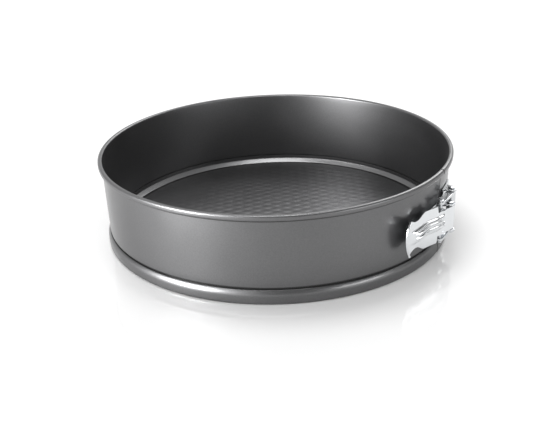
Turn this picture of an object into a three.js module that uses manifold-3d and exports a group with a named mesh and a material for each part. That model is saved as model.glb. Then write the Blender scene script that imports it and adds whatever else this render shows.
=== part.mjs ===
// Springform cake pan, in millimetres, +Z up.
// A rolled steel ring, split at a toggle latch, grips the upturned edge of a loose base plate.
// The origin is on the pan's axis, on the surface that the pan stands on.

import * as THREE from 'three';
import { mergeVertices } from 'three/addons/utils/BufferGeometryUtils.js';
import Module from 'manifold-3d';

const wasm = await Module();
wasm.setup();

// Ring: a strip of sheet steel, rolled round, with a curled rim and a stepped foot
const SHEET = 0.8;
const PAN_HEIGHT = 65;
const WALL_TOP_RADIUS = 130.2;
const WALL_TAPER = 1.5;
const FOOT_PROUD = 1.7;
const FOOT_HEIGHT = 10.4;
const FOOT_CORNER = 0.8;
const SHOULDER_RADIUS = 1.2;
const CREASE_RADIUS = 0.5;
const HEM_WIDTH = 5.2;
const RIM_HEIGHT = 4.4;
const RIM_DEPTH = 3.4;
const RIM_TUCK = Math.PI / 2;
const SPLIT_GAP = 1.2;
const FLEX_GAP = 0.3;
const FLEX_OUTSIDE = 0.6;
const ROUND_STEPS = 72;

// Base plate: a pressed disc with a groove inside its upturned edge
const PLATE_SHEET = 0.8;
const FLOOR_HEIGHT = 4.0;
const GROOVE_WIDTH = 0.8;
const EDGE_TOP_GAP = 0.5;
const EDGE_LEAN = 1.6;
const EDGE_LIP = 0.7;

// Clearances
const SEAT_GAP = 0.3;
const PIN_CLEARANCE = 0.25;

// Latch: places are a standoff (out from the wall) and along (round the wall, from the split)
const LATCH_AZIMUTH = -Math.PI / 4;
const LATCH_MID_HEIGHT = 31.3;
const PIVOT_STANDOFF = 9.175;
const PIVOT_ALONG = -1;
const ANCHOR_STANDOFF = 6.175;
const ANCHOR_ALONG = 10.5;
const LEVER_TILT = 17.5 * Math.PI / 180;
const LEVER_OPEN = 130 * Math.PI / 180;

// Pins
const PIVOT_PIN_RADIUS = 1.5;
const ANCHOR_PIN_RADIUS = 1.5;
const LINK_PIN_RADIUS = 1.25;
const PIN_HEAD_PROUD = 0.9;
const PIN_HEAD_THICKNESS = 1.1;
const KNUCKLE_WALL = 1.1;

// Lever: a stamped handle with a rolled knuckle, a notched root, a broad body, a neck and a tail
const LEVER_SHEET = 1.0;
const LEVER_LENGTH = 49;
const ROOT_HEIGHT = 17.4;
const ROOT_LENGTH = 18;
const BODY_HEIGHT = 29.5;
const SHOULDER_LENGTH = 1.5;
const BODY_END = 33;
const NECK_HEIGHT = 19.5;
const NECK_AT = 42;
const TAIL_HEIGHT = 27;
const NECK_SWEEP = 4;
const TAIL_SWEEP = 3;
const TAIL_LIP = 2.5;
const TAIL_LIP_ANGLE = 40 * Math.PI / 180;
const RIB_RADIUS = 1.2;
const RIB_PROUD = 0.9;
const RIB_SPACING = 3.2;
const RIB_START = 14;
const RIB_END = 40;
const LUG_THICKNESS = 1.6;
const LUG_SINK = 0.4;
const LINK_PIN_ALONG = 11;
const LINK_PIN_INSIDE = 0.3;

// Link: a stirrup with two arms round the lever's root
const ARM_THICKNESS = 2;
const ARM_WIDTH = 4.4;
const ARM_MARGIN = 2.7;
const SLOT_CLEARANCE = 0.5;
const SLOT_WALL = 1.2;
const SLOT_STEPS = 24;

// Brackets and their rivets
const BRACKET_SHEET = 1.2;
const EAR_MARGIN = 1.9;
const HINGE_EAR_FOOT = 8;
const ANCHOR_EAR_FOOT = 12;
const HINGE_PAD_START = 2;
const HINGE_PAD_END = 25;
const ANCHOR_PAD_START = 5;
const ANCHOR_PAD_END = 26;
const RIVET_RADIUS = 1.6;
const RIVET_HEAD_RADIUS = 2.9;
const RIVET_HEAD_HEIGHT = 0.9;
const RIVET_DOME = 0.75;
const HINGE_RIVET_ALONG = -20;
const ANCHOR_RIVET_ALONG = 21;
const HINGE_RIVET_SPACING = 12;
const ANCHOR_RIVET_SPACING = 16;

// Sizes that follow from those above
const HEM_TOP = SHEET;
const WALL_FOOT_RADIUS = WALL_TOP_RADIUS - WALL_TAPER;
const RIM_RADIUS = WALL_TOP_RADIUS - SHEET + RIM_DEPTH;
const FOOT_RADIUS = WALL_FOOT_RADIUS + FOOT_PROUD;
const LEVER_FACE = PIVOT_PIN_RADIUS + PIN_CLEARANCE + KNUCKLE_WALL;
const HINGE_EAR_START = ROOT_HEIGHT / 2 + SEAT_GAP;
const HINGE_EAR_END = HINGE_EAR_START + BRACKET_SHEET;
const HINGE_PIN_END = HINGE_EAR_END + SEAT_GAP + PIN_HEAD_THICKNESS;
const ARM_START = HINGE_EAR_END + ARM_MARGIN;
const ARM_END = ARM_START + ARM_THICKNESS;
const ANCHOR_EAR_START = ARM_END + SEAT_GAP;
const ANCHOR_EAR_END = ANCHOR_EAR_START + BRACKET_SHEET;
const LATCH_WALL = wallRadius(LATCH_MID_HEIGHT);
const PIVOT = new THREE.Vector2(LATCH_WALL + PIVOT_STANDOFF, PIVOT_ALONG);
const ANCHOR = new THREE.Vector2(LATCH_WALL + ANCHOR_STANDOFF, ANCHOR_ALONG);
const FLEX_HINGE = new THREE.Vector2(-RIM_RADIUS - FLEX_OUTSIDE, 0);
const LINK_PIN = new THREE.Vector2(-LINK_PIN_INSIDE, -LINK_PIN_ALONG)
  .rotateAround(new THREE.Vector2(), -LEVER_TILT)
  .add(PIVOT);

// Geometry helpers

function arc(x, y, radius, from, to, steps) {
  const at = (k) => from + (to - from) * k / steps;
  return Array.from({ length: steps + 1 }, (_, k) => new THREE.Vector2(
    x + radius * Math.cos(at(k)), y + radius * Math.sin(at(k))));
}

// The closed outline of a sheet of even thickness, whose middle line is given
function sheetOutline(line, thickness) {
  const normals = line.slice(1).map((p, k) => {
    const d = p.clone().sub(line[k]).normalize();
    return new THREE.Vector2(-d.y, d.x);
  });
  const offset = (side) => line.map((p, k) => {
    const before = normals[Math.max(k - 1, 0)];
    const after = normals[Math.min(k, normals.length - 1)];
    const mean = before.clone().add(after).normalize();
    return p.clone().addScaledVector(mean, side * thickness / 2 / mean.dot(after));
  });
  return [...offset(-1), ...offset(1).reverse()];
}

function solid(geometry) {
  const bare = new THREE.BufferGeometry();
  bare.setAttribute('position', geometry.getAttribute('position'));
  bare.setIndex(geometry.getIndex());
  const merged = mergeVertices(bare, 1e-4);
  const index = merged.getIndex().array;
  const corners = [];
  for (let k = 0; k < index.length; k += 3) {
    const [a, b, c] = index.slice(k, k + 3);
    if (a !== b && b !== c && c !== a) corners.push(a, b, c);
  }
  return new wasm.Manifold(new wasm.Mesh({
    numProp: 3,
    vertProperties: new Float32Array(merged.getAttribute('position').array),
    triVerts: new Uint32Array(corners),
  }));
}

function mesh(name, body, material) {
  const data = body.getMesh();
  const geometry = new THREE.BufferGeometry();
  geometry.setAttribute('position', new THREE.BufferAttribute(data.vertProperties, 3));
  geometry.setIndex(new THREE.BufferAttribute(data.triVerts, 1));
  const made = new THREE.Mesh(geometry, material);
  made.name = name;
  return made;
}

const union = (...bodies) => bodies.reduce((whole, body) => whole.add(body));
const cut = (body, ...tools) => tools.reduce((left, tool) => left.subtract(tool), body);

// A (radius, height) outline carried round the Z axis from one angle to another, with flat ends
function arcSweep(outline, from, to, steps) {
  const count = outline.length;
  const counterclockwise = THREE.ShapeUtils.area(outline) > 0 ? outline : [...outline].reverse();
  const positions = [];
  const index = [];
  for (let j = 0; j <= steps; j++) {
    const angle = from + (to - from) * j / steps;
    counterclockwise.forEach((p) => positions.push(p.x * Math.cos(angle), p.x * Math.sin(angle), p.y));
  }
  for (let j = 0; j < steps; j++) {
    for (let i = 0; i < count; i++) {
      const next = (i + 1) % count;
      const [a, b] = [j * count + i, j * count + next];
      index.push(a, a + count, b + count, a, b + count, b);
    }
  }
  THREE.ShapeUtils.triangulateShape(counterclockwise, []).forEach(([a, b, c]) => {
    const end = steps * count;
    index.push(a, b, c, end + a, end + c, end + b);
  });
  const geometry = new THREE.BufferGeometry();
  geometry.setAttribute('position', new THREE.Float32BufferAttribute(positions, 3));
  geometry.setIndex(index);
  return solid(geometry);
}

// An outline seen from above, between two heights
function slab(shape, low, high) {
  const geometry = new THREE.ExtrudeGeometry(shape, { depth: high - low, bevelEnabled: false });
  return solid(geometry.translate(0, 0, low));
}

// A bar with round ends from one plan point to another, between two heights
function roundBar(from, to, radius, low, high) {
  const along = Math.atan2(to.y - from.y, to.x - from.x);
  const shape = new THREE.Shape();
  shape.absarc(to.x, to.y, radius, along - Math.PI / 2, along + Math.PI / 2);
  shape.absarc(from.x, from.y, radius, along + Math.PI / 2, along + 3 * Math.PI / 2);
  return slab(new THREE.Shape(shape.getPoints(6)), low, high);
}

function upright(at, radius, low, high, sides = 20) {
  const geometry = new THREE.CylinderGeometry(radius, radius, high - low, sides);
  return solid(geometry.rotateX(Math.PI / 2).translate(at.x, at.y, (low + high) / 2));
}

// A turned (radius, height) outline that starts and ends on the Z axis
function turned(outline, sides) {
  return solid(new THREE.LatheGeometry(outline, sides).rotateX(Math.PI / 2));
}

// The pin of a hinge, with a flat head on each end
function headedPin(radius, halfLength) {
  const neck = halfLength - PIN_HEAD_THICKNESS;
  const head = radius + PIN_HEAD_PROUD;
  return turned([
    new THREE.Vector2(0, -halfLength), new THREE.Vector2(head, -halfLength),
    new THREE.Vector2(head, -neck), new THREE.Vector2(radius, -neck),
    new THREE.Vector2(radius, neck), new THREE.Vector2(head, neck),
    new THREE.Vector2(head, halfLength), new THREE.Vector2(0, halfLength),
  ], 16);
}

// Finishes

const coating = (color) => new THREE.MeshStandardMaterial({ color, roughness: 0.38, metalness: 0.7 });
const plated = (color) => new THREE.MeshStandardMaterial({ color, roughness: 0.16, metalness: 1 });

// The ring

function wallRadius(height) {
  const rise = (height - FOOT_HEIGHT) / (PAN_HEIGHT - RIM_HEIGHT - FOOT_HEIGHT);
  return WALL_FOOT_RADIUS + (WALL_TOP_RADIUS - WALL_FOOT_RADIUS) * rise;
}

// The ring's section: hem under the plate, foot, shoulder, crease, wall and curled rim
function ringOutline() {
  const half = SHEET / 2;
  const foot = FOOT_RADIUS - half;
  const ledge = FOOT_HEIGHT - half;
  const wallFoot = WALL_FOOT_RADIUS - half;
  const wallTop = WALL_TOP_RADIUS - half;
  const curl = (RIM_RADIUS - half - wallTop) / 2;
  const curlTop = PAN_HEIGHT - half - curl;
  const curlFoot = PAN_HEIGHT - RIM_HEIGHT + half + curl;
  const line = [
    new THREE.Vector2(FOOT_RADIUS - HEM_WIDTH, half),
    ...arc(foot - FOOT_CORNER, half + FOOT_CORNER, FOOT_CORNER, -Math.PI / 2, 0, 3),
    ...arc(foot - SHOULDER_RADIUS, ledge - SHOULDER_RADIUS, SHOULDER_RADIUS, 0, Math.PI / 2, 3),
    ...arc(wallFoot + CREASE_RADIUS, ledge + CREASE_RADIUS, CREASE_RADIUS, 1.5 * Math.PI, Math.PI, 2),
    ...arc(wallTop + curl, curlTop, curl, Math.PI, 0, 6),
    ...arc(wallTop + curl, curlFoot, curl, 0, -RIM_TUCK, 4),
  ];
  return sheetOutline(line.filter((p, k) => k === 0 || p.distanceTo(line[k - 1]) > 1e-6), SHEET);
}

function rivetHoles(along, spacing) {
  return [-1, 1].map((side) => {
    const geometry = new THREE.CylinderGeometry(
      RIVET_RADIUS + PIN_CLEARANCE, RIVET_RADIUS + PIN_CLEARANCE, RIM_RADIUS, 16);
    geometry.rotateZ(Math.PI / 2).translate(RIM_RADIUS / 2 + FOOT_RADIUS / 2, 0, 0);
    geometry.rotateZ(along / WALL_FOOT_RADIUS);
    return solid(geometry.translate(0, 0, LATCH_MID_HEIGHT + side * spacing / 2));
  });
}

function ringHalf(from, to, rivetAlong, rivetSpacing) {
  const half = arcSweep(ringOutline(), from, to, ROUND_STEPS / 2);
  return cut(half, ...rivetHoles(rivetAlong, rivetSpacing));
}

// The base plate: floor, groove that sits over the hem, leaning edge and the lip under the ledge
function plateOutline() {
  const half = PLATE_SHEET / 2;
  const floor = FLOOR_HEIGHT - half;
  const groove = HEM_TOP + SEAT_GAP + half;
  const drop = floor - groove;
  const lipEnd = FOOT_RADIUS - SHEET - SEAT_GAP;
  const lip = FOOT_HEIGHT - SHEET - EDGE_TOP_GAP - half;
  const edgeFoot = lipEnd - EDGE_LIP - EDGE_LEAN;
  const line = [
    new THREE.Vector2(0, floor),
    new THREE.Vector2(edgeFoot - GROOVE_WIDTH - drop / 2, floor),
    new THREE.Vector2(edgeFoot - GROOVE_WIDTH, groove),
    new THREE.Vector2(edgeFoot, groove),
    new THREE.Vector2(edgeFoot + EDGE_LEAN / 4, groove + drop),
    new THREE.Vector2(lipEnd - EDGE_LIP, lip - EDGE_LIP / 2),
    new THREE.Vector2(lipEnd, lip),
  ];
  return sheetOutline(line, PLATE_SHEET);
}

// The latch's brackets: a pad that follows the wall, with two ears bent out to a pin

function pad(start, end, halfHeight) {
  const [low, high] = [LATCH_MID_HEIGHT - halfHeight, LATCH_MID_HEIGHT + halfHeight];
  const outline = [
    new THREE.Vector2(wallRadius(low) + SEAT_GAP, low),
    new THREE.Vector2(wallRadius(low) + SEAT_GAP + BRACKET_SHEET, low),
    new THREE.Vector2(wallRadius(high) + SEAT_GAP + BRACKET_SHEET, high),
    new THREE.Vector2(wallRadius(high) + SEAT_GAP, high),
  ];
  return arcSweep(outline, start / WALL_FOOT_RADIUS, end / WALL_FOOT_RADIUS, 6);
}

function ear(pin, pinRadius, padFrom, padTo, low, high) {
  const radius = pinRadius + PIN_CLEARANCE + EAR_MARGIN;
  const foot = wallRadius(LATCH_MID_HEIGHT) + SEAT_GAP + BRACKET_SHEET / 2;
  const turn = (along) => new THREE.Vector2(foot, 0).rotateAround(new THREE.Vector2(), along / foot);
  const [near, far] = [turn(padFrom), turn(padTo)];
  const shape = new THREE.Shape([near, new THREE.Vector2(pin.x, pin.y - radius),
    new THREE.Vector2(pin.x, pin.y + radius), far]);
  const whole = slab(shape, low, high).add(upright(pin, radius, low, high));
  return cut(whole, upright(pin, pinRadius + PIN_CLEARANCE, low - 1, high + 1));
}

function ears(pin, pinRadius, padFrom, padTo, start, end) {
  return [[-end, -start], [start, end]].map(([low, high]) => ear(pin, pinRadius, padFrom, padTo,
    LATCH_MID_HEIGHT + low, LATCH_MID_HEIGHT + high));
}

function hingeBracket() {
  const plate = pad(-HINGE_PAD_END, -HINGE_PAD_START, HINGE_EAR_END);
  const tabs = ears(PIVOT, PIVOT_PIN_RADIUS, -HINGE_PAD_START - HINGE_EAR_FOOT, -HINGE_PAD_START,
    HINGE_EAR_START, HINGE_EAR_END);
  return cut(union(plate, ...tabs), ...rivetHoles(HINGE_RIVET_ALONG, HINGE_RIVET_SPACING));
}

function anchorBracket() {
  const plate = pad(ANCHOR_PAD_START, ANCHOR_PAD_END, ANCHOR_EAR_END);
  const tabs = ears(ANCHOR, ANCHOR_PIN_RADIUS, ANCHOR_PAD_START, ANCHOR_PAD_START + ANCHOR_EAR_FOOT,
    ANCHOR_EAR_START, ANCHOR_EAR_END);
  return cut(union(plate, ...tabs), ...rivetHoles(ANCHOR_RIVET_ALONG, ANCHOR_RIVET_SPACING));
}

// A rivet along the X axis, with a flat head inside the wall and a domed head on the bracket
function rivet(height) {
  const inside = wallRadius(height) - SHEET - SEAT_GAP;
  const outside = wallRadius(height) + SEAT_GAP + BRACKET_SHEET + SEAT_GAP;
  const body = new THREE.LatheGeometry([
    new THREE.Vector2(0, inside - RIVET_HEAD_HEIGHT / 2),
    new THREE.Vector2(RIVET_HEAD_RADIUS, inside - RIVET_HEAD_HEIGHT / 2),
    new THREE.Vector2(RIVET_HEAD_RADIUS, inside),
    new THREE.Vector2(RIVET_RADIUS, inside),
    new THREE.Vector2(RIVET_RADIUS, outside),
    new THREE.Vector2(RIVET_HEAD_RADIUS, outside),
    new THREE.Vector2(RIVET_HEAD_RADIUS * RIVET_DOME, outside + RIVET_HEAD_HEIGHT * RIVET_DOME),
    new THREE.Vector2(0, outside + RIVET_HEAD_HEIGHT),
  ], 16);
  return solid(body.rotateZ(-Math.PI / 2));
}

// The lever, about its pivot: X out of its face, Y from tail to root, Z up

function leverOutline() {
  const [root, body, neck, tail] = [ROOT_HEIGHT, BODY_HEIGHT, NECK_HEIGHT, TAIL_HEIGHT].map((h) => h / 2);
  const shape = new THREE.Shape();
  shape.moveTo(0, -root);
  shape.lineTo(ROOT_LENGTH, -root);
  shape.lineTo(ROOT_LENGTH + SHOULDER_LENGTH, -body);
  shape.lineTo(BODY_END, -body);
  shape.quadraticCurveTo(NECK_AT - NECK_SWEEP, -neck, NECK_AT, -neck);
  shape.quadraticCurveTo(LEVER_LENGTH - TAIL_SWEEP, -neck, LEVER_LENGTH, -tail);
  shape.lineTo(LEVER_LENGTH, tail);
  shape.quadraticCurveTo(LEVER_LENGTH - TAIL_SWEEP, neck, NECK_AT, neck);
  shape.quadraticCurveTo(NECK_AT - NECK_SWEEP, neck, BODY_END, body);
  shape.lineTo(ROOT_LENGTH + SHOULDER_LENGTH, body);
  shape.lineTo(ROOT_LENGTH, root);
  shape.lineTo(0, root);
  return new THREE.Shape(shape.getPoints(5));
}

function lever() {
  const centre = new THREE.Vector2();
  const pin = new THREE.Vector2(-LINK_PIN_INSIDE, -LINK_PIN_ALONG);
  const root = ROOT_HEIGHT / 2;
  const inner = LEVER_FACE - LEVER_SHEET;
  const flat = new THREE.ExtrudeGeometry(leverOutline(), { depth: LEVER_SHEET, bevelEnabled: false });
  flat.applyMatrix4(new THREE.Matrix4().makeBasis(
    new THREE.Vector3(0, -1, 0), new THREE.Vector3(0, 0, 1), new THREE.Vector3(-1, 0, 0)));
  const plate = solid(flat.translate(LEVER_FACE, 0, 0));
  const lipLine = [
    new THREE.Vector2(inner + LEVER_SHEET / 2, -LEVER_LENGTH + 1),
    new THREE.Vector2(inner + LEVER_SHEET / 2, -LEVER_LENGTH),
    new THREE.Vector2(inner + LEVER_SHEET / 2 + TAIL_LIP * Math.sin(TAIL_LIP_ANGLE),
      -LEVER_LENGTH - TAIL_LIP * Math.cos(TAIL_LIP_ANGLE)),
  ];
  const lip = slab(new THREE.Shape(sheetOutline(lipLine, LEVER_SHEET)), -TAIL_HEIGHT / 2, TAIL_HEIGHT / 2);
  const knuckle = upright(centre, LEVER_FACE, -root, root);
  const ribs = [-1, 1].map((side) => {
    const bar = new THREE.CapsuleGeometry(RIB_RADIUS, RIB_END - RIB_START - 2 * RIB_RADIUS, 3, 10);
    const out = LEVER_FACE + RIB_PROUD - RIB_RADIUS;
    return solid(bar.translate(out, -(RIB_START + RIB_END) / 2, side * RIB_SPACING / 2));
  });
  const lugRadius = LINK_PIN_RADIUS + PIN_CLEARANCE + KNUCKLE_WALL;
  const lugs = [-1, 1].flatMap((side) => {
    const [low, high] = [root - LUG_THICKNESS, root].map((z) => side * z).sort((a, b) => a - b);
    const web = new THREE.Vector2(inner + LEVER_SHEET / 2 - lugRadius * LUG_SINK, pin.y);
    return [roundBar(pin, web, lugRadius, low, high)];
  });
  const trim = slab(new THREE.Shape([
    new THREE.Vector2(LEVER_FACE, -LEVER_LENGTH), new THREE.Vector2(LEVER_FACE + 2 * lugRadius, -LEVER_LENGTH),
    new THREE.Vector2(LEVER_FACE + 2 * lugRadius, 0), new THREE.Vector2(LEVER_FACE, 0)]), -root, root);
  const core = cut(union(plate, knuckle, ...lugs), trim);
  return cut(union(core, lip, ...ribs),
    upright(centre, PIVOT_PIN_RADIUS + PIN_CLEARANCE, -root - 1, root + 1),
    upright(pin, LINK_PIN_RADIUS + PIN_CLEARANCE, -root - 1, root + 1));
}

// The end of the slot that the link pin runs out to and back from as the latch opens.
// The ring and the link turn in step with the lever, so halfway the pin leaves the link's true circle.
function slotEnd() {
  const turnedBy = (p, about, angle) => p.clone().rotateAround(about, angle);
  const length = LINK_PIN.distanceTo(ANCHOR);
  const pinOpen = turnedBy(LINK_PIN, PIVOT, LEVER_OPEN);
  const spread = (angle) => turnedBy(pinOpen, FLEX_HINGE, -angle).distanceTo(ANCHOR) - length;
  let [low, high] = [0, Math.PI / 30];
  for (let k = 0; k < 40; k++) {
    const middle = (low + high) / 2;
    if (spread(middle) < 0) low = middle;
    else high = middle;
  }
  const reach = turnedBy(pinOpen, FLEX_HINGE, -low).sub(ANCHOR);
  const linkOpen = reach.angle() - LINK_PIN.clone().sub(ANCHOR).angle();
  const places = Array.from({ length: SLOT_STEPS + 1 }, (_, k) => {
    const share = k / SLOT_STEPS;
    const pin = turnedBy(LINK_PIN, PIVOT, LEVER_OPEN * share);
    const onRing = turnedBy(pin, FLEX_HINGE, -low * share);
    return turnedBy(onRing, ANCHOR, -linkOpen * share);
  });
  return places.reduce((far, p) => (p.distanceTo(LINK_PIN) > far.distanceTo(LINK_PIN) ? p : far));
}

function link() {
  const end = slotEnd();
  const slot = LINK_PIN_RADIUS + SLOT_CLEARANCE;
  const bore = ANCHOR_PIN_RADIUS + PIN_CLEARANCE;
  const [low, high] = [LATCH_MID_HEIGHT - ARM_END, LATCH_MID_HEIGHT + ARM_END];
  const arms = [[low, low + ARM_THICKNESS], [high - ARM_THICKNESS, high]].map(([from, to]) => union(
    roundBar(ANCHOR, LINK_PIN, ARM_WIDTH / 2, from, to),
    roundBar(LINK_PIN, end, slot + SLOT_WALL, from, to)));
  const barrel = upright(ANCHOR, bore + KNUCKLE_WALL, low, high);
  return cut(union(barrel, ...arms),
    roundBar(LINK_PIN, end, slot, low - 1, high + 1),
    upright(ANCHOR, bore, low - 1, high + 1));
}

// The whole pan

const pan = new THREE.Group();
const latch = new THREE.Group();
latch.rotation.z = LATCH_AZIMUTH;
pan.add(latch);

const splitAngle = SPLIT_GAP / 2 / WALL_FOOT_RADIUS;
const flexAngle = FLEX_GAP / 2 / WALL_FOOT_RADIUS;
latch.add(mesh('ring_front',
  ringHalf(-Math.PI + flexAngle, -splitAngle, HINGE_RIVET_ALONG, HINGE_RIVET_SPACING), coating(0x5b5d61)));
latch.add(mesh('ring_back',
  ringHalf(splitAngle, Math.PI - flexAngle, ANCHOR_RIVET_ALONG, ANCHOR_RIVET_SPACING), coating(0x5b5d61)));
pan.add(mesh('base_plate', turned(plateOutline(), ROUND_STEPS), coating(0x4b4d50)));

latch.add(mesh('hinge_bracket', hingeBracket(), plated(0xb9bbbe)));
latch.add(mesh('anchor_bracket', anchorBracket(), plated(0xb9bbbe)));

function addRivets(prefix, along, spacing) {
  [['lower', -1], ['upper', 1]].forEach(([place, side]) => {
    const height = LATCH_MID_HEIGHT + side * spacing / 2;
    const made = mesh(`${prefix}_rivet_${place}`, rivet(height), plated(0xa9abae));
    made.rotation.z = along / WALL_FOOT_RADIUS;
    made.position.z = height;
    latch.add(made);
  });
}

addRivets('hinge', HINGE_RIVET_ALONG, HINGE_RIVET_SPACING);
addRivets('anchor', ANCHOR_RIVET_ALONG, ANCHOR_RIVET_SPACING);

function addPin(name, at, radius, halfLength) {
  const made = mesh(name, headedPin(radius, halfLength), plated(0xc9cbce));
  made.position.set(at.x, at.y, LATCH_MID_HEIGHT);
  latch.add(made);
}

addPin('pivot_pin', PIVOT, PIVOT_PIN_RADIUS, HINGE_PIN_END);
addPin('link_pin', LINK_PIN, LINK_PIN_RADIUS, ARM_END + SEAT_GAP + PIN_HEAD_THICKNESS);
addPin('anchor_pin', ANCHOR, ANCHOR_PIN_RADIUS, ANCHOR_EAR_END + SEAT_GAP + PIN_HEAD_THICKNESS);

const handle = mesh('lever', lever(), plated(0xd5d7da));
handle.position.set(PIVOT.x, PIVOT.y, LATCH_MID_HEIGHT);
handle.rotation.z = -LEVER_TILT;
latch.add(handle);
latch.add(mesh('link', link(), plated(0xc4c6c9)));

export default pan;
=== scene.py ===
# Springform cake pan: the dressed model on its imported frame, and a plain studio for it.

import math

import bmesh
import bpy
import numpy as np
from mathutils import Matrix, Vector


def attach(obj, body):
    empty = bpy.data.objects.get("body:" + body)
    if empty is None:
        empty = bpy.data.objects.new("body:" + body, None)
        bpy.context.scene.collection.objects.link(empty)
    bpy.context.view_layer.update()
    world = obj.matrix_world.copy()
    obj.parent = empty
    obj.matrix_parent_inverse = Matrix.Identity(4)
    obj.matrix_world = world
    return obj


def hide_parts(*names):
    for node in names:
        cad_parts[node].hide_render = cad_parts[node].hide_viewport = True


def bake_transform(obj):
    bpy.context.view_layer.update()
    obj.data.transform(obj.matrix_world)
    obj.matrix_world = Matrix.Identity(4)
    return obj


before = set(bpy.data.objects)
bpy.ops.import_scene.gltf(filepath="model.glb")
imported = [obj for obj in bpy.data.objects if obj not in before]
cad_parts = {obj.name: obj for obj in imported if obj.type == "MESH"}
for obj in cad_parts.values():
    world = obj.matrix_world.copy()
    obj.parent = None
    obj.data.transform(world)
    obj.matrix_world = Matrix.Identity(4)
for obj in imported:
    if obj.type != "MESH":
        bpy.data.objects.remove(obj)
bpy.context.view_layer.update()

bl_info = {
    "name": "Springform Cake Pan",
    "version": (1, 0, 0),
    "blender": (4, 5, 0),
    "location": "View3D > Sidebar > Pan",
    "description": "Builds a springform cake pan with a toggle latch, and a studio for it",
    "category": "Add Mesh",
}

MM = 0.001
FULL_TURN = 2 * math.pi

# Largest share of a straight that a rounded corner takes, and when two points count as one, in millimetres
CORNER_SHARE = 0.48
SAME_POINT = 1e-6
WELD = 2e-4

# Ring section, in millimetres
SHEET = 0.8
WALL_TAPER = 1.5
FOOT_PROUD = 1.7
FOOT_CORNER = 1.5
SHOULDER_RADIUS = 7.0
SHOULDER_TURN = math.radians(35)
LEDGE_CORNER = 0.4
CREASE_DEPTH = 0.6
CREASE_WIDTH = 1.4
CREASE_LEAN = 0.4
CREASE_CORNER = 0.15
HEM_WIDTH = 5.2
RIM_CORNER = 1.1
RIM_TUCK = math.radians(90)
SPLIT_GAP = 1.2
RING_STEP = math.radians(1)
FLEX_FROM = math.radians(125)
FLEX_STEPS = 110

# Painted shade: dark lines drawn into the coating's colour where shade falls, in the foot's crease, under the
# rim and beside the floor's groove; their share of its colour, their widths and one's place under the rim, in
# millimetres
PAINTED_SHADE_LEVEL = 0.15
FOOT_SHADE_LINE = 3
RIM_SHADE_LINE = 2
RIM_SHADE_DROP = 0.4
FLOOR_SHADE_LINE = 9

# Base plate, in millimetres
SEAT_GAP = 0.3
GROOVE_WIDTH = 0.8
GROOVE_DEPTH = 0.5
SLOPE_WIDTH = 3.2
SLOPE_RISE = 2.8
EDGE_TOP_GAP = 0.9
PLATE_CORNER = 0.6
CELLS_FADE = (112, 117)
CELL_SPAN = (-1.2, 2.4)
FLOOR_POINTS = 281
CELL_TURN = math.radians(-16.3)

# Latch, in millimetres; across is out from the pan's axis, along is round the wall from the split
LATCH_TURN = -math.pi / 4
LATCH_MID = 31.3
LATCH_WALL = 129.325
PIVOT_OUT = 9.175
PIVOT_ALONG = -1.0
PIVOT = np.array([LATCH_WALL + PIVOT_OUT, PIVOT_ALONG])
ANCHOR_OUT = 6.175
ANCHOR_ALONG = 10.5
ANCHOR = np.array([LATCH_WALL + ANCHOR_OUT, ANCHOR_ALONG])
LEVER_TILT = math.radians(17.5)
LEVER_OUT = np.array([math.cos(LEVER_TILT), -math.sin(LEVER_TILT)])
LEVER_ALONG = np.array([-math.sin(LEVER_TILT), -math.cos(LEVER_TILT)])
LINK_PIN_ALONG = 11.0
LINK_PIN_INSIDE = 0.3
LINK_PIN = PIVOT + LINK_PIN_ALONG * LEVER_ALONG - LINK_PIN_INSIDE * LEVER_OUT

# Latch's fittings, in millimetres; an ear, arm or lug goes by its inner and outer height from the middle, a
# pad or foot by its two ends along, the barrel by its bore and outside, rivets by place along and spacing
EAR_SHEET = 1.2
EAR_RADIUS = 3.65
HINGE_EAR = (9.0, 10.2)
HINGE_PAD = (-25, -2)
HINGE_EAR_FOOT = (-10, -2)
ANCHOR_EAR = (15.2, 16.4)
ANCHOR_PAD = (5, 26)
ANCHOR_EAR_FOOT = (5, 17)
ARM = (12.9, 14.9)
ARM_EYE_RADIUS = 2.6
BARREL = (1.75, 2.85)
BARREL_SIDES = 48
LUG = (7.1, 8.7)
LUG_RADIUS = 2.6
LUG_SEAT = 1.6
PIN_RADIUS = 1.5
LINK_PIN_RADIUS = 1.25
PIN_REACH = 1.4
PIN_HEAD = 1.1
PIN_HEAD_PROUD = 0.9
PIN_HEAD_DOME = 0.25
PIN_CORNER = 0.3
RIVET_RADIUS = 1.6
RIVET_HEAD = 2.9
RIVET_RISE = 0.9
RIVET_CORNER = 0.2
HINGE_RIVETS = (-20, 12)
ANCHOR_RIVETS = (21, 16)

# Lever, in millimetres; a pair named start or fade is the stretch along it where a form comes or goes
LEVER_SHEET = 1.0
CURL_RADIUS = 2.35
CURL_TURN = math.radians(300)
ROOT_HALF = 8.7
BODY_HALF = 13.6
BODY_START = (17.3, 18.8)
NECK_HALF = 9.75
NECK_START = (32.0, 41.3)
TAIL_HALF = 12.2
TAIL_START = (42.8, 52.0)
TAIL_BEND = 47.8
TAIL_BEND_RADIUS = 7.5
TAIL_BEND_TURN = math.radians(52)
TAIL_BULGE = 1.8
BULGE_START = (39.8, 53.5)
HEM_RADIUS = 0.85
LEVER_LIFT = 1.2
LIFT_START = (13.3, 33.0)
CROWN_RISE = 0.9
CROWN_START = (11.3, 22.3)
CROWN_FADE = (36, 46)
BAND_RISE = 1.3
BAND_EDGE = (3.2, 5.4)
BAND_START = (8, 13)
BAND_FADE = (42, 48)
BAND_LIFT = 1.2
BAND_SINK = 2.6
SINK_START = (30, 47)
RIB_RISE = 1.0
RIB_ASIDE = 1.6
RIB_WIDTH = 0.8
RIB_START = (14, 17)
RIB_FADE = (38, 46)
PIT_DEPTH = 1.5
PIT_AT = 11.8
PIT_SIZE = 2.4

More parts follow.
